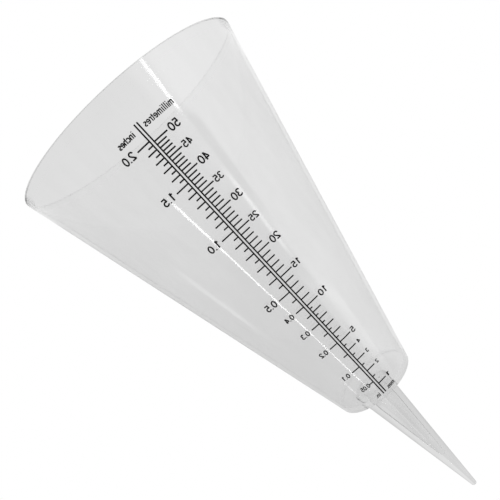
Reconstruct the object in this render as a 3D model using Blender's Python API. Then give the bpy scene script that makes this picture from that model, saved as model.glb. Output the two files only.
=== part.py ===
"""Conical rain gauge on a ground spike: a clear cone cup, its spike and its two printed scales.

Metres, +Z up. The origin is on the cup's axis at its underside, which is the soil line in use.
The scales lie on the +Y side of the cup, millimetres towards -X and inches towards +X.
"""

import math

import bmesh
import bpy

MM = 0.001

# Cup
MOUTH_RADIUS = 54.0 * MM
BASE_RADIUS = 18.2 * MM
CUP_HEIGHT = 152.0 * MM
WALL = 1.5 * MM
FLOOR = 2.0 * MM
RIM_ROUND = 0.3 * MM
BASE_ROUND = 0.35 * MM
FLOOR_ROUND = 1.5 * MM

# Spigot under the cup, which locates the spike
SPIGOT_RADIUS = 2.7 * MM
SPIGOT_TIP_RADIUS = 1.2 * MM
SPIGOT_LENGTH = 36.0 * MM
SPIGOT_ROUND = 0.5 * MM

# Spike: a hollow sleeve with a solid tip. It leans on the spigot's play.
SPIKE_RADIUS = 8.7 * MM
SPIKE_TIP_RADIUS = 1.15 * MM
SPIKE_LENGTH = 67.2 * MM
SPIKE_EDGE = 0.5 * MM
BORE_RADIUS = 5.2 * MM
BORE_END_RADIUS = 0.9 * MM
BORE_DEPTH = 46.0 * MM
SEAT_GAP = 0.3 * MM
LEAN_SLOPE = 0.0605
LEAN_PIVOT_DEPTH = 36.0 * MM

# Printed scales. A mark stands at the level that its depth of rain fills, but for a small
# drop and slant of the whole print.
INK_GAP = 0.1 * MM
INK = 0.2 * MM
LINE_WIDTH = 0.54 * MM
LINE_OFFSET = 0.31 * MM
LINE_BOTTOM = 2.1 * MM
LINE_TOP = 138.6 * MM
ZERO_RADIUS = 16.12 * MM
PRINT_DROP = 0.2 * MM
PRINT_SLANT = 0.003
PRINT_PIVOT = 13.0 * MM
INCH = 25.4
CELLS_PER_MM = 0.85

TURN_STEPS = 96
SPIKE_STEPS = 64

SLOPE = (MOUTH_RADIUS - BASE_RADIUS) / CUP_HEIGHT
HALF_ANGLE = math.atan(SLOPE)
WALL_ACROSS = WALL / math.cos(HALF_ANGLE)


def clear_scene():
    for ob in list(bpy.data.objects):
        bpy.data.objects.remove(ob, do_unlink=True)


def material(name, colour, roughness, transmission=0.0):
    mat = bpy.data.materials.new(name)
    mat.use_nodes = True
    shader = mat.node_tree.nodes["Principled BSDF"]
    shader.inputs["Base Color"].default_value = (*colour, 1.0)
    shader.inputs["Roughness"].default_value = roughness
    shader.inputs["Transmission Weight"].default_value = transmission
    shader.inputs["IOR"].default_value = 1.49
    return mat


def add_object(name, points, faces, mat, smooth_angle=None):
    """One closed solid from points and faces, its faces turned outwards."""
    mesh = bpy.data.meshes.new(name)
    mesh.from_pydata(points, [], faces)
    bm = bmesh.new()
    bm.from_mesh(mesh)
    bmesh.ops.recalc_face_normals(bm, faces=bm.faces)
    bm.to_mesh(mesh)
    bm.free()
    mesh.materials.append(mat)
    if smooth_angle is not None:
        mesh.shade_smooth()
        mesh.set_sharp_from_angle(angle=smooth_angle)
    ob = bpy.data.objects.new(name, mesh)
    bpy.context.scene.collection.objects.link(ob)
    return ob


def rounded(before, corner, after, radius, steps=6):
    """Points of an arc of this radius that rounds the corner of a profile."""
    a = (before[0] - corner[0], before[1] - corner[1])
    b = (after[0] - corner[0], after[1] - corner[1])
    la, lb = math.hypot(*a), math.hypot(*b)
    a, b = (a[0] / la, a[1] / la), (b[0] / lb, b[1] / lb)
    half = 0.5 * math.acos(max(-1.0, min(1.0, a[0] * b[0] + a[1] * b[1])))
    mid = (a[0] + b[0], a[1] + b[1])
    lm = math.hypot(*mid)
    reach = radius / math.sin(half)
    centre = (corner[0] + mid[0] / lm * reach, corner[1] + mid[1] / lm * reach)
    run = radius / math.tan(half)
    start = (corner[0] + a[0] * run, corner[1] + a[1] * run)
    end = (corner[0] + b[0] * run, corner[1] + b[1] * run)
    first = math.atan2(start[1] - centre[1], start[0] - centre[0])
    last = math.atan2(end[1] - centre[1], end[0] - centre[0])
    turn = (last - first + math.pi) % (2 * math.pi) - math.pi
    angles = [first + turn * k / steps for k in range(steps + 1)]
    return [(centre[0] + radius * math.cos(t), centre[1] + radius * math.sin(t)) for t in angles]


def with_rounds(corners):
    """A profile from (r, z, radius) corners, each rounded where its radius isn't 0."""
    profile = []
    for k, (r, z, radius) in enumerate(corners):
        if radius:
            profile += rounded(corners[k - 1][:2], (r, z), corners[k + 1][:2], radius)
        else:
            profile.append((r, z))
    return profile


def turned(name, profile, steps, mat, shift=lambda z: 0.0):
    """Turns an (r, z) profile that starts and ends on the axis. shift moves each level along X."""
    points, rows = [], []
    for r, z in profile:
        if r < 1e-9:
            rows.append([len(points)])
            points.append((shift(z), 0.0, z))
            continue
        rows.append(list(range(len(points), len(points) + steps)))
        for k in range(steps):
            t = 2 * math.pi * k / steps
            points.append((shift(z) + r * math.cos(t), r * math.sin(t), z))
    faces = []
    for low, high in zip(rows, rows[1:]):
        for k in range(steps):
            n = (k + 1) % steps
            if len(low) == 1:
                faces.append((low[0], high[k], high[n]))
            elif len(high) == 1:
                faces.append((low[k], low[n], high[0]))
            else:
                faces.append((low[k], low[n], high[n], high[k]))
    return add_object(name, points, faces, mat, smooth_angle=math.radians(35))


def outer_radius(z):
    return BASE_RADIUS + z * SLOPE


def inner_radius(z):
    return outer_radius(z) - WALL_ACROSS


def rain_height(depth_mm):
    """Height of the level on the cup's outside when this depth of rain has fallen."""
    rain = 3.0 * depth_mm * MM * MOUTH_RADIUS**2 * SLOPE
    level_radius = (ZERO_RADIUS**3 + rain) ** (1.0 / 3.0)
    return (level_radius + WALL_ACROSS - BASE_RADIUS) / SLOPE - PRINT_DROP


def build_cup():
    corners = [
        (0.0, -SPIGOT_LENGTH, 0.0),
        (SPIGOT_TIP_RADIUS, -SPIGOT_LENGTH, 0.9 * MM),
        (SPIGOT_RADIUS, 0.0, SPIGOT_ROUND),
        (BASE_RADIUS, 0.0, BASE_ROUND),
        (MOUTH_RADIUS, CUP_HEIGHT, RIM_ROUND),
        (MOUTH_RADIUS - WALL_ACROSS, CUP_HEIGHT, RIM_ROUND),
        (inner_radius(FLOOR), FLOOR, FLOOR_ROUND),
        (0.0, FLOOR, 0.0),
    ]
    clear = material("cup_plastic", (0.93, 0.94, 0.94), 0.06, transmission=1.0)
    return turned("measuring_cone", with_rounds(corners), TURN_STEPS, clear)


def lean_shift(z):
    """How far the leaning spike's centre is along X at this height."""
    return (z + LEAN_PIVOT_DEPTH) * LEAN_SLOPE


def build_spike():
    top = -SEAT_GAP
    corners = [
        (0.0, -SPIKE_LENGTH, 0.0),
        (SPIKE_TIP_RADIUS, -SPIKE_LENGTH, 0.95 * MM),
        (SPIKE_RADIUS, top, SPIKE_EDGE),
        (BORE_RADIUS, top, SPIKE_EDGE),
        (BORE_END_RADIUS, -BORE_DEPTH, 0.7 * MM),
        (0.0, -BORE_DEPTH, 0.0),
    ]
    clear = material("spike_plastic", (0.90, 0.91, 0.91), 0.10, transmission=1.0)
    return turned("ground_spike", with_rounds(corners), SPIKE_STEPS, clear, shift=lean_shift)


def millimetre_marks():
    """(depth in mm, tick length) of every millimetre mark."""
    marks = []
    for half in range(2, 101):
        depth = half / 2
        if half % 2 and depth > 10:
            continue
        length = 1.6 if half % 2 else 5.85 if half % 10 == 0 else 4.35
        marks.append((depth, length * MM))
    return marks


def inch_marks():
    """(depth in mm, tick length) of every twentieth of an inch."""
    marks = []
    for twentieth in range(1, 41):
        length = 5.5 if twentieth % 10 == 0 else 4.0 if twentieth % 2 == 0 else 2.3
        marks.append((twentieth * INCH / 20, length * MM))
    return marks


def build_scale(name, marks, side, mat):
    """One comb of ink on the cone: a line up the cup with its ticks on one side of it."""
    ticks = [(rain_height(depth), length) for depth, length in marks]
    half_tick = 0.5 * LINE_WIDTH * math.cos(HALF_ANGLE)
    levels = [LINE_BOTTOM, LINE_TOP]
    for z, _ in ticks:
        levels += [z - half_tick, z + half_tick]
    levels.sort()
    inner_edge = LINE_OFFSET
    outer_edge = LINE_OFFSET + LINE_WIDTH
    ends = sorted({length for _, length in ticks})
    across = [inner_edge, outer_edge]
    for end in ends:
        start = across[-1]
        stop = LINE_OFFSET + end
        cells = max(1, round((stop - start) / MM * CELLS_PER_MM))
        across += [start + (stop - start) * (k + 1) / cells for k in range(cells)]

    def filled(row, column):
        if not (0 <= row < len(levels) - 1 and 0 <= column < len(across) - 1):
            return False
        if column == 0:
            return True
        middle = 0.5 * (levels[row] + levels[row + 1])
        reach = 0.5 * (across[column] + across[column + 1]) - LINE_OFFSET
        return any(abs(middle - z) < half_tick and reach < length for z, length in ticks)

    points, index = [], {}

    def corner(row, column, top):
        key = (row, column, top)
        if key not in index:
            z = levels[row]
            lift = (INK_GAP + (INK if top else 0.0)) / math.cos(HALF_ANGLE)
            radius = outer_radius(z) + lift
            turn = (side * across[column] + (z - PRINT_PIVOT) * PRINT_SLANT) / outer_radius(z)
            index[key] = len(points)
            points.append((radius * math.sin(turn), radius * math.cos(turn), z))
        return index[key]

    faces = []
    for row in range(len(levels) - 1):
        for column in range(len(across) - 1):
            if not filled(row, column):
                continue
            ring = [(row, column), (row, column + 1), (row + 1, column + 1), (row + 1, column)]
            faces.append([corner(r, c, True) for r, c in ring])
            faces.append([corner(r, c, False) for r, c in reversed(ring)])
            beside = [(row - 1, column), (row, column + 1), (row + 1, column), (row, column - 1)]
            for k, other in enumerate(beside):
                if filled(*other):
                    continue
                (ra, ca), (rb, cb) = ring[k], ring[(k + 1) % 4]
                faces.append(
                    [
                        corner(ra, ca, False),
                        corner(rb, cb, False),
                        corner(rb, cb, True),
                        corner(ra, ca, True),
                    ]
                )
    return add_object(name, points, faces, mat)


clear_scene()
build_cup()
build_spike()
ink = material("ink_millimetres", (0.02, 0.02, 0.022), 0.5)
build_scale("millimetre_scale", millimetre_marks(), -1, ink)
ink = material("ink_inches", (0.02, 0.02, 0.022), 0.5)
build_scale("inch_scale", inch_marks(), 1, ink)
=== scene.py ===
"""Looks for the conical rain gauge: a clear cup, its ground spike and the two printed scales.

Metres, +Z up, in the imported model's frame. The scales are on the cup's +Y wall and read through
the clear cup from -Y, so their figures run towards +X.
"""

import math

import bmesh
import bpy
from mathutils import Matrix, Vector


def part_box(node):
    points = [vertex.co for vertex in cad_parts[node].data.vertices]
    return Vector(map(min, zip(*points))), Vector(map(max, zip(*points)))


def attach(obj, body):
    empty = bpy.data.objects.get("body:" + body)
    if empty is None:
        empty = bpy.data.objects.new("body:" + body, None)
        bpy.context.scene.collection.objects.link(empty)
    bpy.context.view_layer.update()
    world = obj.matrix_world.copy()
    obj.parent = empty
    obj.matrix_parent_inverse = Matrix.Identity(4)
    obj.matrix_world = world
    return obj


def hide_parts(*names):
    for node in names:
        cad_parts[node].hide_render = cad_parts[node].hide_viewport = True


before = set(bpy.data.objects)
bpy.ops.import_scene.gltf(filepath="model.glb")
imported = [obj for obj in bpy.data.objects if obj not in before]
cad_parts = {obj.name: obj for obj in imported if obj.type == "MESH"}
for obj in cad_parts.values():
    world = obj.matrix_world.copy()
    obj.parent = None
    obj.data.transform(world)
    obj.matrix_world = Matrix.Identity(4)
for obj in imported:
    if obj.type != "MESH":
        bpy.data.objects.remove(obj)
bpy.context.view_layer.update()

MM = 0.001
CUP_LOW, CUP_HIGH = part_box("measuring_cone")
SPIKE_LOW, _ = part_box("ground_spike")

# Cup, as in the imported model
MOUTH_RADIUS = 54.0 * MM
CUP_HEIGHT = CUP_HIGH.z
BASE_RADIUS = 18.2 * MM
WALL = 1.5 * MM
FLOOR = 2.0 * MM
RIM_ROUND = 0.3 * MM
BASE_ROUND = 0.35 * MM
FLOOR_ROUND = 1.5 * MM
SPIGOT_RADIUS = 2.7 * MM
SPIGOT_TIP_RADIUS = 1.2 * MM
SPIGOT_LENGTH = -CUP_LOW.z
SPIGOT_ROUND = 0.5 * MM
SPIGOT_TIP_ROUND = 0.9 * MM

# Spike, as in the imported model
SPIKE_RADIUS = 8.7 * MM
SPIKE_TIP_RADIUS = 1.15 * MM
SPIKE_LENGTH = -SPIKE_LOW.z
SPIKE_EDGE = 0.5 * MM
SPIKE_TIP_ROUND = 0.95 * MM
BORE_RADIUS = 5.2 * MM
BORE_END_RADIUS = 0.9 * MM
BORE_END_ROUND = 0.7 * MM
BORE_DEPTH = 46.0 * MM
SEAT_GAP = 0.3 * MM
LEAN_SLOPE = 0.0605
LEAN_PIVOT_DEPTH = 36.0 * MM

# The range that most of a noise lies in
NOISE_LOW = 0.3
NOISE_HIGH = 0.7

# Plastic. The bends are (level, how strongly the plastic bends light there).
CUP_BENDS = [(3 * MM, 1.04), (14 * MM, 1.15), (138 * MM, 1.15), (149 * MM, 1.04)]
SPIKE_BENDS = [(-9 * MM, 1.12), (-1 * MM, 1.03)]
RIPPLE = 0.005 * MM
RIPPLE_PATCHES = 70.0
HAZE = 0.11
EDGE_HAZE = 0.3
MATT_FOOT = (0.0, 1 * MM, 2 * MM)
MATT_RIM = (147 * MM, 150 * MM)
# Ring of painted shade on the foot's outer edge
FOOT_SHADE_BAND = (0.1 * MM, 0.9 * MM, 0.9 * MM)
FOOT_SHADE_REACH = (16.6 * MM, 17.6 * MM)
# Long streaks of painted shade up the plastic, where it passes less light
SHADE_STREAK_STRETCH = (1.0, 1.0, 0.04)
SHADE_STREAK_START = (0.0, 0.0, 1.3)
SHADE_STREAK_PATCHES = 260.0
UNEVEN_PATCHES = 35.0
UNEVEN_CLEAR = 0.99
POLISH_LOW = 0.02
POLISH_HIGH = 0.07
CUP_GLOSS = 0.06
SPIKE_GLOSS = 0.012
GRAZING_POWER = 5.0
GRAZING_MIRROR = 0.94

# The spike's bore hardly shows. This cone, between the bore and the outside, parts the two.
BORE_SHARE = 0.15
MIDDLE_RADIUS = 6.9 * MM
MIDDLE_SLOPE = 0.1
MIDDLE_BLUR = 0.3 * MM

# Print
INK_LOW = 0.02 * MM
INK_HIGH = 0.06 * MM
INK_STEP = 0.001 * MM
LINE_WIDTH = 0.54 * MM
LINE_OFFSET = 0.31 * MM
LINE_BOTTOM = 2.1 * MM
LINE_TOP = 138.6 * MM
ZERO_RADIUS = 16.12 * MM
PRINT_DROP = 0.2 * MM
PRINT_SLANT = 0.003
PRINT_PIVOT = 13.0 * MM
CELL = 0.5 * MM
INCH = 25.4
INK_GRAIN_PATCHES = 2500.0
INK_DARK = 0.003
INK_PALE = 0.009
INK_BLUE = 1.08
INK_SMOOTH = 0.5
INK_MATT = 0.75
INK_SHINE = 0.1

# Meshes
TURN_STEPS = 256
LONG_RUN = 6.0 * MM
END_CUT = 0.15 * MM
SHARP_ANGLE = math.radians(35)
ON_AXIS = 1e-9
CLOSED_ON_GRID = 1e-6
CLOSED_IN_METRES = 1e-7

SLOPE = (MOUTH_RADIUS - BASE_RADIUS) / CUP_HEIGHT
HALF_ANGLE = math.atan(SLOPE)
WALL_ACROSS = WALL / math.cos(HALF_ANGLE)

# Camera
CAMERA_PLACE = (0.0, 221.1 * MM, 101.3 * MM)
CAMERA_PITCH = math.radians(5.653)
CAMERA_YAW = math.radians(0.284)
CAMERA_ROLL = math.radians(42.75)
CAMERA_LENS = 37.84
CAMERA_SENSOR = 36.0
CAMERA_CLIP = 0.01

# Studio
WHITE = (1.0, 1.0, 1.0)
ROOM_LOW = 0.68
ROOM_HIGH = 0.77
SIDE_LOW = 0.78
SIDE_HIGH = 0.81
SIDE_EDGE = (-0.075, -0.03)
ROOM_LEVELS = (-0.45, 0.22)
BACKDROP_RADIUS = 12.0
REFLECTIONS_RADIUS = 6.0
DOME_AROUND = 48
DOME_UP = 24
FLOOR_HALF = 8.0
FLOOR_DROP = 0.5 * MM


# ---------------------------------------------------------------- camera and studio


def place_camera():
    data = bpy.data.cameras.new("camera")
    data.lens = CAMERA_LENS
    data.sensor_width = CAMERA_SENSOR
    data.clip_start = CAMERA_CLIP
    ob = bpy.data.objects.new("camera", data)
    turn = Matrix.Rotation(math.pi + CAMERA_YAW, 4, "Z")
    turn @= Matrix.Rotation(math.pi / 2 - CAMERA_PITCH, 4, "X")
    turn @= Matrix.Rotation(-CAMERA_ROLL, 4, "Z")
    ob.matrix_world = Matrix.Translation(CAMERA_PLACE) @ turn
    bpy.context.scene.collection.objects.link(ob)
    bpy.context.scene.camera = ob


place_camera()


def add_mesh(name, points, faces, mat, smooth_angle=None):
    """A new object from points and faces, its faces turned outwards."""
    mesh = bpy.data.meshes.new(name)
    mesh.from_pydata(points, [], faces)
    bm = bmesh.new()
    bm.from_mesh(mesh)
    bmesh.ops.recalc_face_normals(bm, faces=bm.faces)
    bm.to_mesh(mesh)
    bm.free()
    mesh.materials.append(mat)
    if smooth_angle is not None:
        mesh.shade_smooth()
        mesh.set_sharp_from_angle(angle=smooth_angle)
    ob = bpy.data.objects.new(name, mesh)
    bpy.context.scene.collection.objects.link(ob)
    return ob


class Nodes:
    """Short ways to add and join shader nodes."""

    def __init__(self, tree):
        self.tree = tree
        self.tree.nodes.clear()

    def new(self, kind, **settings):
        node = self.tree.nodes.new(kind)
        for key, value in settings.items():
            setattr(node, key, value)
        return node

    def put(self, socket, value):
        """Sets an input to a number or a colour, or joins it to another node's output."""
        if isinstance(value, bpy.types.NodeSocket):
            self.tree.links.new(value, socket)
        elif isinstance(value, tuple) and len(value) == 3 and socket.type == "RGBA":
            socket.default_value = (*value, 1.0)
        else:
            socket.default_value = value

    def math(self, operation, a, b=0.0):
        node = self.new("ShaderNodeMath", operation=operation)
        self.put(node.inputs[0], a)
        self.put(node.inputs[1], b)
        return node.outputs[0]

    def ramp(self, value, start, end, low=0.0, high=1.0):
        """Goes smoothly from low to high as value goes from start to end."""
        node = self.new("ShaderNodeMapRange", interpolation_type="SMOOTHSTEP")
        inputs = {"Value": value, "To Min": low, "To Max": high}
        if start > end:
            start, end = end, start
            inputs.update({"To Min": high, "To Max": low})
        inputs.update({"From Min": start, "From Max": end})
        for key, item in inputs.items():
            self.put(node.inputs[key], item)
        return node.outputs[0]

    def noise(self, place, scale, detail):
        """Cloudy variation from 0 to 1 over the object, this many patches a metre."""
        node = self.new("ShaderNodeTexNoise")
        self.put(node.inputs["Vector"], place)
        self.put(node.inputs["Scale"], scale)
        self.put(node.inputs["Detail"], detail)
        return node.outputs["Fac"]

    def window(self, value, start, end, soft):
        """1 between start and end, falling to 0 over soft on both sides."""
        rise = self.ramp(value, start - soft, start)
        return self.math("MULTIPLY", rise, self.ramp(value, end + soft, end))

    def total(self, *values):
        result = values[0]
        for value in values[1:]:
            result = self.math("ADD", result, value)
        return result

    def times(self, *values):
        result = values[0]
        for value in values[1:]:
            result = self.math("MULTIPLY", result, value)
        return result


def emission(name):
    """A plain glowing material, with its nodes and its glow."""
    mat = bpy.data.materials.new(name)
    mat.use_nodes = True
    nodes = Nodes(mat.node_tree)
    glow = nodes.new("ShaderNodeEmission")
    nodes.put(glow.inputs["Strength"], 1.0)
    out = nodes.new("ShaderNodeOutputMaterial")
    nodes.put(out.inputs["Surface"], glow.outputs[0])
    mat.cycles.emission_sampling = "NONE"
    return mat, nodes, glow


def only_for(ob, shown):
    """Shows a studio piece only to this kind of ray, such as camera or glossy."""
    for ray in ("camera", "diffuse", "glossy", "transmission", "volume_scatter", "shadow"):
        setattr(ob, "visible_" + ray, ray == shown)


def build_grey_room():
    """What shows through the plastic: a pale grey room, paler upwards and on the -X side."""
    world = bpy.data.worlds.new("grey_room")
    world.use_nodes = True
    nodes = Nodes(world.node_tree)
    place = nodes.new("ShaderNodeTexCoord")
    parts = nodes.new("ShaderNodeSeparateXYZ")
    nodes.put(parts.inputs[0], place.outputs["Generated"])
    side = nodes.ramp(parts.outputs["X"], *SIDE_EDGE, 1.0, 0.0)
    low = nodes.ramp(side, 0.0, 1.0, ROOM_LOW, SIDE_LOW)
    high = nodes.ramp(side, 0.0, 1.0, ROOM_HIGH, SIDE_HIGH)
    grey = nodes.ramp(parts.outputs["Z"], *ROOM_LEVELS, low, high)
    back = nodes.new("ShaderNodeBackground")
    nodes.put(back.inputs["Color"], WHITE)
    nodes.put(back.inputs["Strength"], grey)
    out = nodes.new("ShaderNodeOutputWorld")
    nodes.put(out.inputs["Surface"], back.outputs[0])
    bpy.context.scene.world = world
    bpy.context.scene.view_settings.view_transform = "Standard"


def dome(name, mat, radius):
    """A closed shell round the object, made as a grid of latitudes and longitudes."""
    around, up = DOME_AROUND, DOME_UP
    points = [(0.0, 0.0, -radius)]
    for j in range(1, up):
        tilt = math.pi * (j / up - 0.5)
        for i in range(around):
            turn = 2 * math.pi * i / around
            flat = radius * math.cos(tilt)
            points.append((flat * math.cos(turn), flat * math.sin(turn), radius * math.sin(tilt)))
    points.append((0.0, 0.0, radius))
    top = len(points) - 1
    faces = []
    for i in range(around):
        n = (i + 1) % around
        faces.append((0, 1 + n, 1 + i))
        faces.append((top, top - around + i, top - around + n))
        for j in range(up - 2):
            row = 1 + j * around
            faces.append((row + i, row + n, row + around + n, row + around + i))
    return add_mesh(name, points, faces, mat, smooth_angle=math.radians(60))


def build_white_backdrop():
    """The plain white paper that the camera sees behind the object."""
    mat, _, _ = emission("white_paper")
    only_for(dome("backdrop", mat, BACKDROP_RADIUS), "camera")


def build_floor():
    """A plain white floor just under the spike's tip."""
    z = SPIKE_LOW.z - FLOOR_DROP
    half = FLOOR_HALF
    points = [(-half, -half, z), (half, -half, z), (half, half, z), (-half, half, z)]
    mat, _, _ = emission("white_floor")
    only_for(add_mesh("floor", points, [(0, 1, 2, 3)], mat), "camera")


def build_reflections():
    """Soft boxes and dark cards round the object, which only show as shine on its outside.

    azimuth is in degrees from +Y towards -X, and height in degrees above the ground.
    """
    mat, nodes, glow = emission("soft_boxes")
    place = nodes.new("ShaderNodeTexCoord")
    way = nodes.new("ShaderNodeVectorMath", operation="NORMALIZE")
    nodes.put(way.inputs[0], place.outputs["Object"])
    parts = nodes.new("ShaderNodeSeparateXYZ")
    nodes.put(parts.inputs[0], way.outputs[0])
    degrees = 180 / math.pi
    minus_x = nodes.math("MULTIPLY", parts.outputs["X"], -1.0)
    turn = nodes.math("ARCTAN2", minus_x, parts.outputs["Y"])
    azimuth = nodes.math("MULTIPLY", turn, degrees)
    height = nodes.math("MULTIPLY", nodes.math("ARCSINE", parts.outputs["Z"]), degrees)

    def card(azimuths, side_blur, heights, end_blur):
        """1 inside a box of these azimuths and heights, fading out over the blurs."""
        across = nodes.window(azimuth, *azimuths, side_blur)
        return nodes.times(across, nodes.window(height, *heights, end_blur))

    room = nodes.ramp(height, -8, 15, 0.7, 0.9)
    side_box = nodes.times(
        nodes.ramp(azimuth, 36, 43),
        nodes.ramp(azimuth, 40, 150, 0.6, 0.2),
        nodes.window(height, -70, 8, 5),
    )
    broken = nodes.ramp(nodes.noise(way.outputs[0], 45.0, 1.0), 0.4, 0.55, 0.35, 1.0)
    dark_card = nodes.times(
        nodes.window(azimuth, 40.5, 43.5, 5),
        nodes.ramp(height, -30, -22),
        nodes.ramp(height, -12.8, -15),
        -1.5,
    )
    pale_card = nodes.times(card((34, 35.5), 3, (-31, -24), 4), 2.0)
    bright_strip = nodes.times(card((34.4, 36.0), 1.2, (-12.9, 5), 0.6), broken, 9.0)
    long_strip = nodes.times(card((-28.9, -27.1), 0.6, (-49.5, -21), 0.8), broken, 7.5)
    left_strip = card((-91, -88), 4, (-27, -22), 5)
    left_spot = nodes.times(card((-64.5, -61), 1.5, (-45.9, -45.6), 0.4), 5.0)
    low_card = card((30, 58), 8, (-45, -39), 4)
    light = nodes.total(
        room,
        side_box,
        dark_card,
        pale_card,
        bright_strip,
        long_strip,
        left_strip,
        left_spot,
        low_card,
    )
    nodes.put(glow.inputs["Strength"], nodes.math("MAXIMUM", light, 0.0))
    only_for(dome("reflections", mat, REFLECTIONS_RADIUS), "glossy")


build_grey_room()
build_white_backdrop()
build_floor()
build_reflections()


# ---------------------------------------------------------------- turned shapes


def rounded(before, corner, after, radius, steps=10):
    """Points of an arc of this radius that rounds the corner of a profile."""
    a = (Vector(before) - Vector(corner)).normalized()
    b = (Vector(after) - Vector(corner)).normalized()
    half = 0.5 * a.angle(b)
    centre = Vector(corner) + (a + b).normalized() * radius / math.sin(half)
    start = Vector(corner) + a * radius / math.tan(half) - centre
    end = Vector(corner) + b * radius / math.tan(half) - centre
    first = math.atan2(start.y, start.x)
    turn = (math.atan2(end.y, end.x) - first + math.pi) % (2 * math.pi) - math.pi
    angles = [first + turn * k / steps for k in range(steps + 1)]
    return [(centre.x + radius * math.cos(t), centre.y + radius * math.sin(t)) for t in angles]


def with_rounds(corners):
    """A profile from (r, z, radius) corners, each rounded where its radius isn't 0."""
    profile = []
    for k, (r, z, radius) in enumerate(corners):
        if radius:
            profile += rounded(corners[k - 1][:2], (r, z), corners[k + 1][:2], radius)
        else:
            profile.append((r, z))
    return profile


def with_cuts(profile):
    """Cuts long straight runs, close to their ends too, so that only the rounds bend the shine."""
    fine = [profile[0]]
    for before, after in zip(profile, profile[1:]):
        start, end = Vector(before), Vector(after)
        length = (end - start).length
        if length > LONG_RUN:
            pieces = math.ceil(length / LONG_RUN)
            end_share = END_CUT / length
            shares = [end_share] + [k / pieces for k in range(1, pieces)] + [1 - end_share]
            fine += [tuple(start.lerp(end, share)) for share in shares]
        fine.append(after)
    return fine


def turned(name, profile, mat, shift=lambda z: 0.0):
    """Turns an (r, z) profile that starts and ends on the axis. shift moves each level along X."""
    points, rows = [], []
    for r, z in with_cuts(profile):
        if r < ON_AXIS:
            rows.append([len(points)])
            points.append((shift(z), 0.0, z))
            continue
        rows.append(list(range(len(points), len(points) + TURN_STEPS)))
        for k in range(TURN_STEPS):
            t = 2 * math.pi * k / TURN_STEPS
            points.append((shift(z) + r * math.cos(t), r * math.sin(t), z))
    faces = []
    for low, high in zip(rows, rows[1:]):
        for k in range(TURN_STEPS):
            n = (k + 1) % TURN_STEPS
            if len(low) == 1:
                faces.append((low[0], high[k], high[n]))
            elif len(high) == 1:
                faces.append((low[k], low[n], high[0]))
            else:
                faces.append((low[k], low[n], high[n], high[k]))
    return add_mesh(name, points, faces, mat, smooth_angle=SHARP_ANGLE)


def outer_radius(z):
    """Radius of the cup's outside at height z."""
    return BASE_RADIUS + z * SLOPE


def rain_height(depth_mm):
    """Height of the level on the cup's outside when this depth of rain has fallen."""
    rain = 3.0 * depth_mm * MM * MOUTH_RADIUS**2 * SLOPE
    level_radius = (ZERO_RADIUS**3 + rain) ** (1.0 / 3.0)
    return (level_radius + WALL_ACROSS - BASE_RADIUS) / SLOPE - PRINT_DROP


# ---------------------------------------------------------------- materials


def outside_of_cup(nodes, parts):
    """1 everywhere, as both sides of the cup's wall show alike."""
    return 1.0


def outside_of_spike(nodes, parts):
    """1 on the spike's outside and BORE_SHARE in its bore, which hardly shows."""
    level = parts.outputs["Z"]
    lean = nodes.times(nodes.math("ADD", level, LEAN_PIVOT_DEPTH), LEAN_SLOPE)
    x = nodes.math("SUBTRACT", parts.outputs["X"], lean)
    across = nodes.total(nodes.times(x, x), nodes.times(parts.outputs["Y"], parts.outputs["Y"]))
    middle = nodes.math("ADD", nodes.times(level, MIDDLE_SLOPE), MIDDLE_RADIUS)
    beyond = nodes.math("SUBTRACT", nodes.math("SQRT", across), middle)
    return nodes.ramp(beyond, -MIDDLE_BLUR, MIDDLE_BLUR, BORE_SHARE, 1.0)


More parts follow.
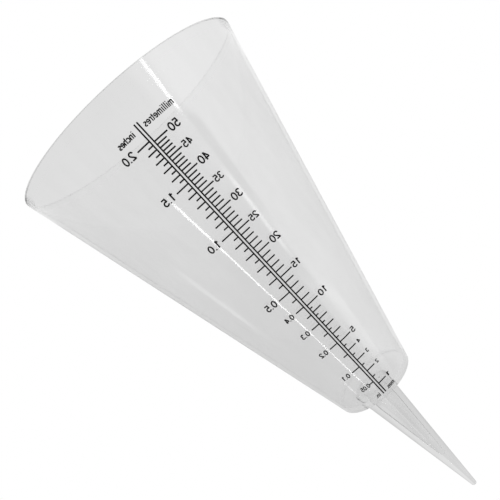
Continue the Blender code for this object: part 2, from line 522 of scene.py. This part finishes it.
def clear_plastic(
    name, bends, outside, gloss, dim_from, clear_face, clear_edge, shade_streak_clear, shaded_foot_clear=1.0
):
    """Clear moulded plastic: it mirrors more and passes less light where it is seen edge on.

    gloss is how much it mirrors face on. It passes clear_face of the light face on, and less from
    dim_from on, down to clear_edge. The last two are its clearness in long streaks of painted
    shade, and in a ring of painted shade on the foot's edge. Slow ripples from the mould break up
    the shine.
    """
    mat = bpy.data.materials.new(name)
    mat.use_nodes = True
    nodes = Nodes(mat.node_tree)
    place = nodes.new("ShaderNodeTexCoord").outputs["Object"]
    parts = nodes.new("ShaderNodeSeparateXYZ")
    nodes.put(parts.inputs[0], place)
    level = parts.outputs["Z"]
    bend = bends[0][1]
    for (low, before), (high, after) in zip(bends, bends[1:]):
        bend = nodes.math("ADD", nodes.ramp(level, low, high, 0.0, after - before), bend)
    share = outside(nodes, parts)
    bend = nodes.math("ADD", nodes.times(nodes.math("SUBTRACT", bend, 1.0), share), 1.0)
    # Painted shade: long streaks up the plastic pass less light where the stretched noise is low
    shade_streaks = nodes.new("ShaderNodeVectorMath", operation="MULTIPLY_ADD")
    nodes.put(shade_streaks.inputs[0], place)
    nodes.put(shade_streaks.inputs[1], SHADE_STREAK_STRETCH)
    nodes.put(shade_streaks.inputs[2], SHADE_STREAK_START)
    shade_streaks = nodes.ramp(nodes.noise(shade_streaks.outputs[0], SHADE_STREAK_PATCHES, 2.0), 0.35, 0.65, shade_streak_clear, 1.0)
    uneven = nodes.noise(place, UNEVEN_PATCHES, 3.0)
    facing = nodes.new("ShaderNodeLayerWeight").outputs["Facing"]
    grazing = nodes.math("POWER", facing, GRAZING_POWER)
    mirror = nodes.math("MULTIPLY_ADD", grazing, GRAZING_MIRROR)
    mirror.node.inputs[2].default_value = gloss
    trapped = nodes.new("ShaderNodeFresnel")
    nodes.put(trapped.inputs["IOR"], bend)
    mirror = nodes.times(nodes.math("MAXIMUM", mirror, trapped.outputs[0]), share)
    out_from_middle = nodes.new("ShaderNodeVectorMath", operation="LENGTH")
    nodes.put(out_from_middle.inputs[0], place)
    # Painted shade: a ring on the foot's outer edge passes less light
    foot = nodes.window(level, *FOOT_SHADE_BAND)
    foot = nodes.times(foot, nodes.ramp(out_from_middle.outputs["Value"], *FOOT_SHADE_REACH))
    clear = nodes.times(
        nodes.ramp(facing, dim_from, 1.0, clear_face, clear_edge),
        nodes.ramp(foot, 0.0, 1.0, 1.0, shaded_foot_clear),
        nodes.ramp(uneven, NOISE_LOW, NOISE_HIGH, UNEVEN_CLEAR, 1.0),
        shade_streaks,
    )
    lost = nodes.times(nodes.math("SUBTRACT", 1.0, clear), share)
    clear = nodes.math("SUBTRACT", 1.0, lost)
    tint = nodes.new("ShaderNodeCombineColor")
    for part in ("Red", "Green", "Blue"):
        nodes.put(tint.inputs[part], clear)
    through = nodes.new("ShaderNodeBsdfRefraction")
    nodes.put(through.inputs["Color"], tint.outputs[0])
    nodes.put(through.inputs["IOR"], bend)
    matt_edges = nodes.total(nodes.window(level, *MATT_FOOT), nodes.ramp(level, *MATT_RIM))
    nodes.put(through.inputs["Roughness"], nodes.ramp(matt_edges, 0.0, 1.0, HAZE, EDGE_HAZE))
    bump = nodes.new("ShaderNodeBump")
    nodes.put(bump.inputs["Distance"], RIPPLE)
    nodes.put(bump.inputs["Height"], nodes.noise(place, RIPPLE_PATCHES, 1.0))
    shine = nodes.new("ShaderNodeBsdfAnisotropic")
    nodes.put(shine.inputs["Color"], WHITE)
    polish = nodes.ramp(uneven, NOISE_LOW, NOISE_HIGH, POLISH_LOW, POLISH_HIGH)
    nodes.put(shine.inputs["Roughness"], polish)
    nodes.put(shine.inputs["Normal"], bump.outputs[0])
    mix = nodes.new("ShaderNodeMixShader")
    nodes.put(mix.inputs[0], mirror)
    nodes.put(mix.inputs[1], through.outputs[0])
    nodes.put(mix.inputs[2], shine.outputs[0])
    out = nodes.new("ShaderNodeOutputMaterial")
    nodes.put(out.inputs["Surface"], mix.outputs[0])
    return mat


def black_ink():
    """Printed ink: nearly black and matt, with a faint grain."""
    mat = bpy.data.materials.new("printed_ink")
    mat.use_nodes = True
    nodes = Nodes(mat.node_tree)
    place = nodes.new("ShaderNodeTexCoord").outputs["Object"]
    grain = nodes.noise(place, INK_GRAIN_PATCHES, 2.0)
    dark = nodes.ramp(grain, NOISE_LOW, NOISE_HIGH, INK_DARK, INK_PALE)
    grey = nodes.new("ShaderNodeCombineColor")
    for part, share in (("Red", 1.0), ("Green", 1.0), ("Blue", INK_BLUE)):
        nodes.put(grey.inputs[part], nodes.times(dark, share))
    shader = nodes.new("ShaderNodeBsdfPrincipled")
    nodes.put(shader.inputs["Base Color"], grey.outputs[0])
    roughness = nodes.ramp(grain, NOISE_LOW, NOISE_HIGH, INK_SMOOTH, INK_MATT)
    nodes.put(shader.inputs["Roughness"], roughness)
    nodes.put(shader.inputs["Specular IOR Level"], INK_SHINE)
    out = nodes.new("ShaderNodeOutputMaterial")
    nodes.put(out.inputs["Surface"], shader.outputs[0])
    return mat


CUP_PLASTIC = clear_plastic(
    "cup_plastic",
    CUP_BENDS,
    outside_of_cup,
    gloss=CUP_GLOSS,
    dim_from=0.2,
    clear_face=0.985,
    clear_edge=0.965,
    # Painted shade in long streaks
    shade_streak_clear=0.992,
    # Painted shade on the foot's edge
    shaded_foot_clear=0.965,
)
SPIKE_PLASTIC = clear_plastic(
    "spike_plastic",
    SPIKE_BENDS,
    outside_of_spike,
    gloss=SPIKE_GLOSS,
    dim_from=0.42,
    clear_face=0.995,
    clear_edge=0.66,
    # Painted shade in long streaks
    shade_streak_clear=0.955,
)
INK = black_ink()


# ---------------------------------------------------------------- cup and spike


def build_cup():
    inner_floor = outer_radius(FLOOR) - WALL_ACROSS
    corners = [
        (0.0, -SPIGOT_LENGTH, 0.0),
        (SPIGOT_TIP_RADIUS, -SPIGOT_LENGTH, SPIGOT_TIP_ROUND),
        (SPIGOT_RADIUS, 0.0, SPIGOT_ROUND),
        (BASE_RADIUS, 0.0, BASE_ROUND),
        (MOUTH_RADIUS, CUP_HEIGHT, RIM_ROUND),
        (MOUTH_RADIUS - WALL_ACROSS, CUP_HEIGHT, RIM_ROUND),
        (inner_floor, FLOOR, FLOOR_ROUND),
        (0.0, FLOOR, 0.0),
    ]
    cup = turned("cup_shell", with_rounds(corners), CUP_PLASTIC)
    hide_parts("measuring_cone")
    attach(cup, "cup")


def lean_shift(z):
    """How far the leaning spike's centre is along X at this height."""
    return (z + LEAN_PIVOT_DEPTH) * LEAN_SLOPE


def build_spike():
    top = -SEAT_GAP
    corners = [
        (0.0, -SPIKE_LENGTH, 0.0),
        (SPIKE_TIP_RADIUS, -SPIKE_LENGTH, SPIKE_TIP_ROUND),
        (SPIKE_RADIUS, top, SPIKE_EDGE),
        (BORE_RADIUS, top, SPIKE_EDGE),
        (BORE_END_RADIUS, -BORE_DEPTH, BORE_END_ROUND),
        (0.0, -BORE_DEPTH, 0.0),
    ]
    spike = turned("spike_shell", with_rounds(corners), SPIKE_PLASTIC, lean_shift)
    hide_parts("ground_spike")
    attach(spike, "spike")


build_cup()
build_spike()


# ---------------------------------------------------------------- print


class Print:
    """Flat ink shapes in (x across the wall, z up the axis), bent round the cup as thin solids."""

    def __init__(self):
        self.points = []
        self.faces = []

    def wall(self, x, z, lift):
        """The point x round the wall from the scales' middle, at height z, lifted off the wall."""
        radius = outer_radius(z) + lift / math.cos(HALF_ANGLE)
        turn = (x + (z - PRINT_PIVOT) * PRINT_SLANT) / outer_radius(z)
        return (radius * math.sin(turn), radius * math.cos(turn), z)

    def stroke(self, pairs, high):
        """One closed solid between a stroke's left and right points, a ring if its ends meet."""
        ring = math.dist(pairs[0][0], pairs[-1][0]) < CLOSED_IN_METRES
        if ring:
            pairs = pairs[:-1]
        base, count = len(self.points), len(pairs)
        for left, right in pairs:
            self.points += [self.wall(*left, INK_LOW), self.wall(*right, INK_LOW)]
            self.points += [self.wall(*right, high), self.wall(*left, high)]
        for k in range(count if ring else count - 1):
            here, there = base + 4 * k, base + 4 * ((k + 1) % count)
            for i in range(4):
                n = (i + 1) % 4
                self.faces.append((here + i, here + n, there + n, there + i))
        if not ring:
            self.faces.append(tuple(range(base, base + 4)))
            self.faces.append(tuple(range(base + 4 * count - 4, base + 4 * count)))

    def comb(self, ticks, side):
        """One closed solid: a line up the cup with all its ticks, given as (z, length)."""
        half_tick = 0.5 * LINE_WIDTH * math.cos(HALF_ANGLE)
        tick_edges = [z + way * half_tick for z, _ in ticks for way in (-1, 1)]
        levels = sorted([LINE_BOTTOM, LINE_TOP] + tick_edges)
        across = [LINE_OFFSET, LINE_OFFSET + LINE_WIDTH]
        for end in sorted({length for _, length in ticks}):
            start, stop = across[-1], LINE_OFFSET + end
            cells = math.ceil((stop - start) / CELL)
            across += [start + (stop - start) * (k + 1) / cells for k in range(cells)]

        def filled(row, column):
            if not (0 <= row < len(levels) - 1 and 0 <= column < len(across) - 1):
                return False
            middle = 0.5 * (levels[row] + levels[row + 1])
            reach = 0.5 * (across[column] + across[column + 1]) - LINE_OFFSET
            in_tick = any(abs(middle - z) < half_tick and reach < length for z, length in ticks)
            return column == 0 or in_tick

        index = {}

        def corner(row, column, lift):
            key = (row, column, lift)
            if key not in index:
                index[key] = len(self.points)
                self.points.append(self.wall(side * across[column], levels[row], lift))
            return index[key]

        for row in range(len(levels) - 1):
            for column in range(len(across) - 1):
                if not filled(row, column):
                    continue
                ring = [(row, column), (row, column + 1), (row + 1, column + 1), (row + 1, column)]
                self.faces.append([corner(r, c, INK_HIGH) for r, c in ring])
                self.faces.append([corner(r, c, INK_LOW) for r, c in reversed(ring)])
                below, above = (row - 1, column), (row + 1, column)
                beside = [below, (row, column + 1), above, (row, column - 1)]
                for k, other in enumerate(beside):
                    if not filled(*other):
                        a, b = ring[k], ring[(k + 1) % 4]
                        low = [corner(*a, INK_LOW), corner(*b, INK_LOW)]
                        self.faces.append(low + [corner(*b, INK_HIGH), corner(*a, INK_HIGH)])

    def finish(self, name, replaces=None):
        ob = add_mesh(name, self.points, self.faces, INK)
        if replaces:
            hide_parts(replaces)
        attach(ob, "cup")


def millimetre_marks():
    """(depth in mm, tick length) of every millimetre mark."""
    marks = []
    for half in range(2, 101):
        depth = half / 2
        if half % 2 and depth > 10:
            continue
        length = 1.6 if half % 2 else 5.85 if half % 10 == 0 else 4.35
        marks.append((depth, length * MM))
    return marks


def inch_marks():
    """(depth in mm, tick length) of every twentieth of an inch."""
    marks = []
    for twentieth in range(1, 41):
        length = 5.5 if twentieth % 10 == 0 else 4.0 if twentieth % 2 == 0 else 2.3
        marks.append((twentieth * INCH / 20, length * MM))
    return marks


def build_comb(name, node, marks, side):
    comb = Print()
    comb.comb([(rain_height(depth), length) for depth, length in marks], side)
    comb.finish(name, node)


build_comb("millimetre_comb", "millimetre_scale", millimetre_marks(), -1)
build_comb("inch_comb", "inch_scale", inch_marks(), 1)


# Figures and letters are strokes on a grid where a figure is 1 high.


def arc(cx, cy, rx, ry, start, end, steps=14):
    """Points of an elliptical arc, angles in degrees, anticlockwise from +x."""
    angles = [math.radians(start + (end - start) * k / steps) for k in range(steps + 1)]
    return [(cx + rx * math.cos(t), cy + ry * math.sin(t)) for t in angles]


PEN = 0.135
FIGURE_PEN = PEN + 0.045
BOLD_PEN = 0.21
MITRE_LIMIT = 0.5
HALF_PEN = PEN / 2
LOW, HIGH = HALF_PEN, 1.0 - HALF_PEN
X_HEIGHT = 0.73
X_TOP = X_HEIGHT - HALF_PEN
BOWL = 0.245


def figure_strokes(sign):
    """(advance, strokes) of one sign. A stroke is a list of points."""
    middle = 0.31
    if sign == "0":
        return 0.70, [arc(middle, 0.5, BOWL, 0.5 - HALF_PEN, 0, 360, 28)]
    if sign == "1":
        return 0.70, [[(0.14, 0.76), (0.26, 0.79), (0.36, 0.99)], [(0.38, 0.0), (0.38, 1.0)]]
    if sign == "2":
        top = arc(middle, 0.70, BOWL, 0.30 - HALF_PEN, 175, -35, 16)
        return 0.70, [top + [(0.10, 0.13), (0.08, LOW)], [(0.04, LOW), (0.58, LOW)]]
    if sign == "3":
        top = arc(0.30, 0.735, 0.21, 0.265 - HALF_PEN, 165, -85, 14)
        low = arc(0.30, 0.275, BOWL, 0.275 - HALF_PEN, 85, -165, 16)
        return 0.70, [top, low]
    if sign == "4":
        slope = [(0.42, 0.95), (0.07, 0.30)]
        return 0.70, [[(0.44, 0.0), (0.44, 1.0)], slope, [(0.04, 0.27), (0.60, 0.27)]]
    if sign == "5":
        bowl = arc(0.29, 0.335, BOWL, 0.335 - HALF_PEN, 140, -160, 20)
        return 0.70, [[(0.56, HIGH), (0.16, HIGH), (0.10, 0.50)], bowl]
    if sign == ".":
        return 0.30, [[(0.12, 0.0), (0.12, 0.15)]]
    raise ValueError(sign)


def letter_strokes(sign):
    """(advance, strokes) of one small letter."""
    x_half = X_HEIGHT / 2
    if sign == "i":
        return 0.32, [[(0.12, 0.0), (0.12, X_HEIGHT)], [(0.12, 0.86), (0.12, 1.0)]]
    if sign == "l":
        return 0.32, [[(0.12, 0.0), (0.12, 1.0)]]
    if sign == "t":
        foot = arc(0.27, 0.16, 0.11, 0.16 - HALF_PEN, 180, 290, 6)
        return 0.36, [[(0.16, 0.92), (0.16, 0.16)], foot, [(0.02, X_TOP), (0.33, X_TOP)]]
    if sign in "nhr":
        stem = 1.0 if sign == "h" else X_HEIGHT
        if sign == "r":
            arm = arc(0.37, 0.40, 0.25, 0.33 - HALF_PEN, 180, 85, 8)
            return 0.42, [[(0.12, 0.0), (0.12, stem)], arm]
        hump = arc(0.30, 0.46, 0.18, 0.27 - HALF_PEN, 180, 0, 10)
        return 0.61, [[(0.12, 0.0), (0.12, stem)], hump + [(0.48, 0.0)]]
    if sign == "m":
        first = arc(0.28, 0.46, 0.16, 0.27 - HALF_PEN, 180, 0, 10) + [(0.44, 0.0)]
        second = arc(0.60, 0.46, 0.16, 0.27 - HALF_PEN, 180, 0, 10) + [(0.76, 0.0)]
        return 0.90, [[(0.12, 0.0), (0.12, X_HEIGHT)], first, second]
    if sign == "e":
        ring = arc(0.30, x_half, 0.235, x_half - HALF_PEN, 0, 325, 22)
        return 0.61, [ring, [(0.06, x_half), (0.54, x_half)]]
    if sign == "c":
        return 0.57, [arc(0.30, x_half, 0.235, x_half - HALF_PEN, 40, 320, 20)]
    if sign == "s":
        top = arc(0.27, 0.545, 0.18, 0.185 - HALF_PEN, 30, 250, 10)
        low = arc(0.27, 0.195, 0.19, 0.195 - HALF_PEN, 80, -150, 10)
        return 0.54, [top + low]
    raise ValueError(sign)


def strokes_of(sign):
    return figure_strokes(sign) if sign in "0123456789." else letter_strokes(sign)


def ribbon(points, width):
    """The left and right edges of a stroke of this width, mitred at its bends."""
    closed = math.dist(points[0], points[-1]) < CLOSED_ON_GRID
    edges = []
    for k, point in enumerate(points):
        before = points[k - 1] if k else (points[-2] if closed else None)
        after = points[k + 1] if k + 1 < len(points) else (points[1] if closed else None)
        here = Vector(point)
        ways = []
        if before is not None:
            ways.append((here - Vector(before)).normalized())
        if after is not None:
            ways.append((Vector(after) - here).normalized())
        way = sum(ways, Vector((0.0, 0.0))).normalized()
        reach = 0.5 * width / max(MITRE_LIMIT, way.dot(ways[0]))
        across = Vector((-way.y, way.x)) * reach
        edges.append((here + across, here - across))
    return edges


def write(text, name, x, z, height, width, align, pen=FIGURE_PEN):
    """Prints a word. x is the edge nearest the marks, z its middle, height its figures' height.

    align is 1 where the word runs on from x, and -1 where it ends there.
    """
    shapes, pen_x = [], 0.0
    for sign in text:
        advance, strokes = strokes_of(sign)
        shapes += [[(px + pen_x, py) for px, py in stroke] for stroke in strokes]
        pen_x += advance
    edges = [ribbon(stroke, pen) for stroke in shapes]
    low = min(p.x for ribbon_edges in edges for pair in ribbon_edges for p in pair)
    high = max(p.x for ribbon_edges in edges for pair in ribbon_edges for p in pair)
    scale_x = width / (high - low)
    start = x if align > 0 else x - width
    bottom = z - 0.5 * height * math.cos(HALF_ANGLE)
    label = Print()

    def place(p):
        return (start + (p.x - low) * scale_x, bottom + p.y * height * math.cos(HALF_ANGLE))

    for k, ribbon_edges in enumerate(edges):
        pairs = [(place(left), place(right)) for left, right in ribbon_edges]
        label.stroke(pairs, INK_HIGH + k * INK_STEP)
    label.finish(name)


def build_figures():
    for depth in range(5, 55, 5):
        tens = depth % 10 == 0
        height = (2.75 if depth == 10 else 3.0 if tens else 2.6) * MM
        width = (1.40 if depth > 5 else 0.72) * height
        gap = (6.9 if tens else 6.6) * MM
        write(str(depth), f"figure_mm_{depth}", -gap, rain_height(depth), height, width, -1)
    for depth in range(1, 5):
        z = rain_height(depth)
        name = f"figure_mm_{depth}"
        write(str(depth), name, -5.6 * MM, z, 1.8 * MM, 1.25 * MM, -1, BOLD_PEN)
    for halves in range(1, 5):
        text = f"{halves / 2:.1f}"
        z = rain_height(halves * INCH / 2) + 0.4 * MM
        write(text, f"figure_in_{text}", 6.9 * MM, z, 3.0 * MM, 4.9 * MM, 1)
    for tenths, height, width in ((4, 2.3, 3.9), (3, 2.3, 3.8), (2, 2.3, 3.7), (1, 2.2, 3.3)):
        text = f"0.{tenths}"
        z = rain_height(tenths * INCH / 10)
        write(text, f"figure_in_{text}", 5.6 * MM, z, height * MM, width * MM, 1, BOLD_PEN)
    z = rain_height(INCH / 20)
    write("0.05", "figure_in_0.05", 2.5 * MM, z, 2.1 * MM, 4.2 * MM, 1, BOLD_PEN)
    top = LINE_TOP - 1.9 * MM
    write("millimetres", "word_millimetres", -1.75 * MM, top, 2.35 * MM, 12.2 * MM, -1, 0.17)
    write("inches", "word_inches", 2.6 * MM, top, 2.25 * MM, 6.9 * MM, 1, 0.2)
    write("mm.", "word_mm", -1.8 * MM, 3.1 * MM, 1.95 * MM, 4.0 * MM, -1, BOLD_PEN)
    write("in.", "word_in", 1.85 * MM, 3.1 * MM, 1.95 * MM, 2.1 * MM, 1, BOLD_PEN)


build_figures()
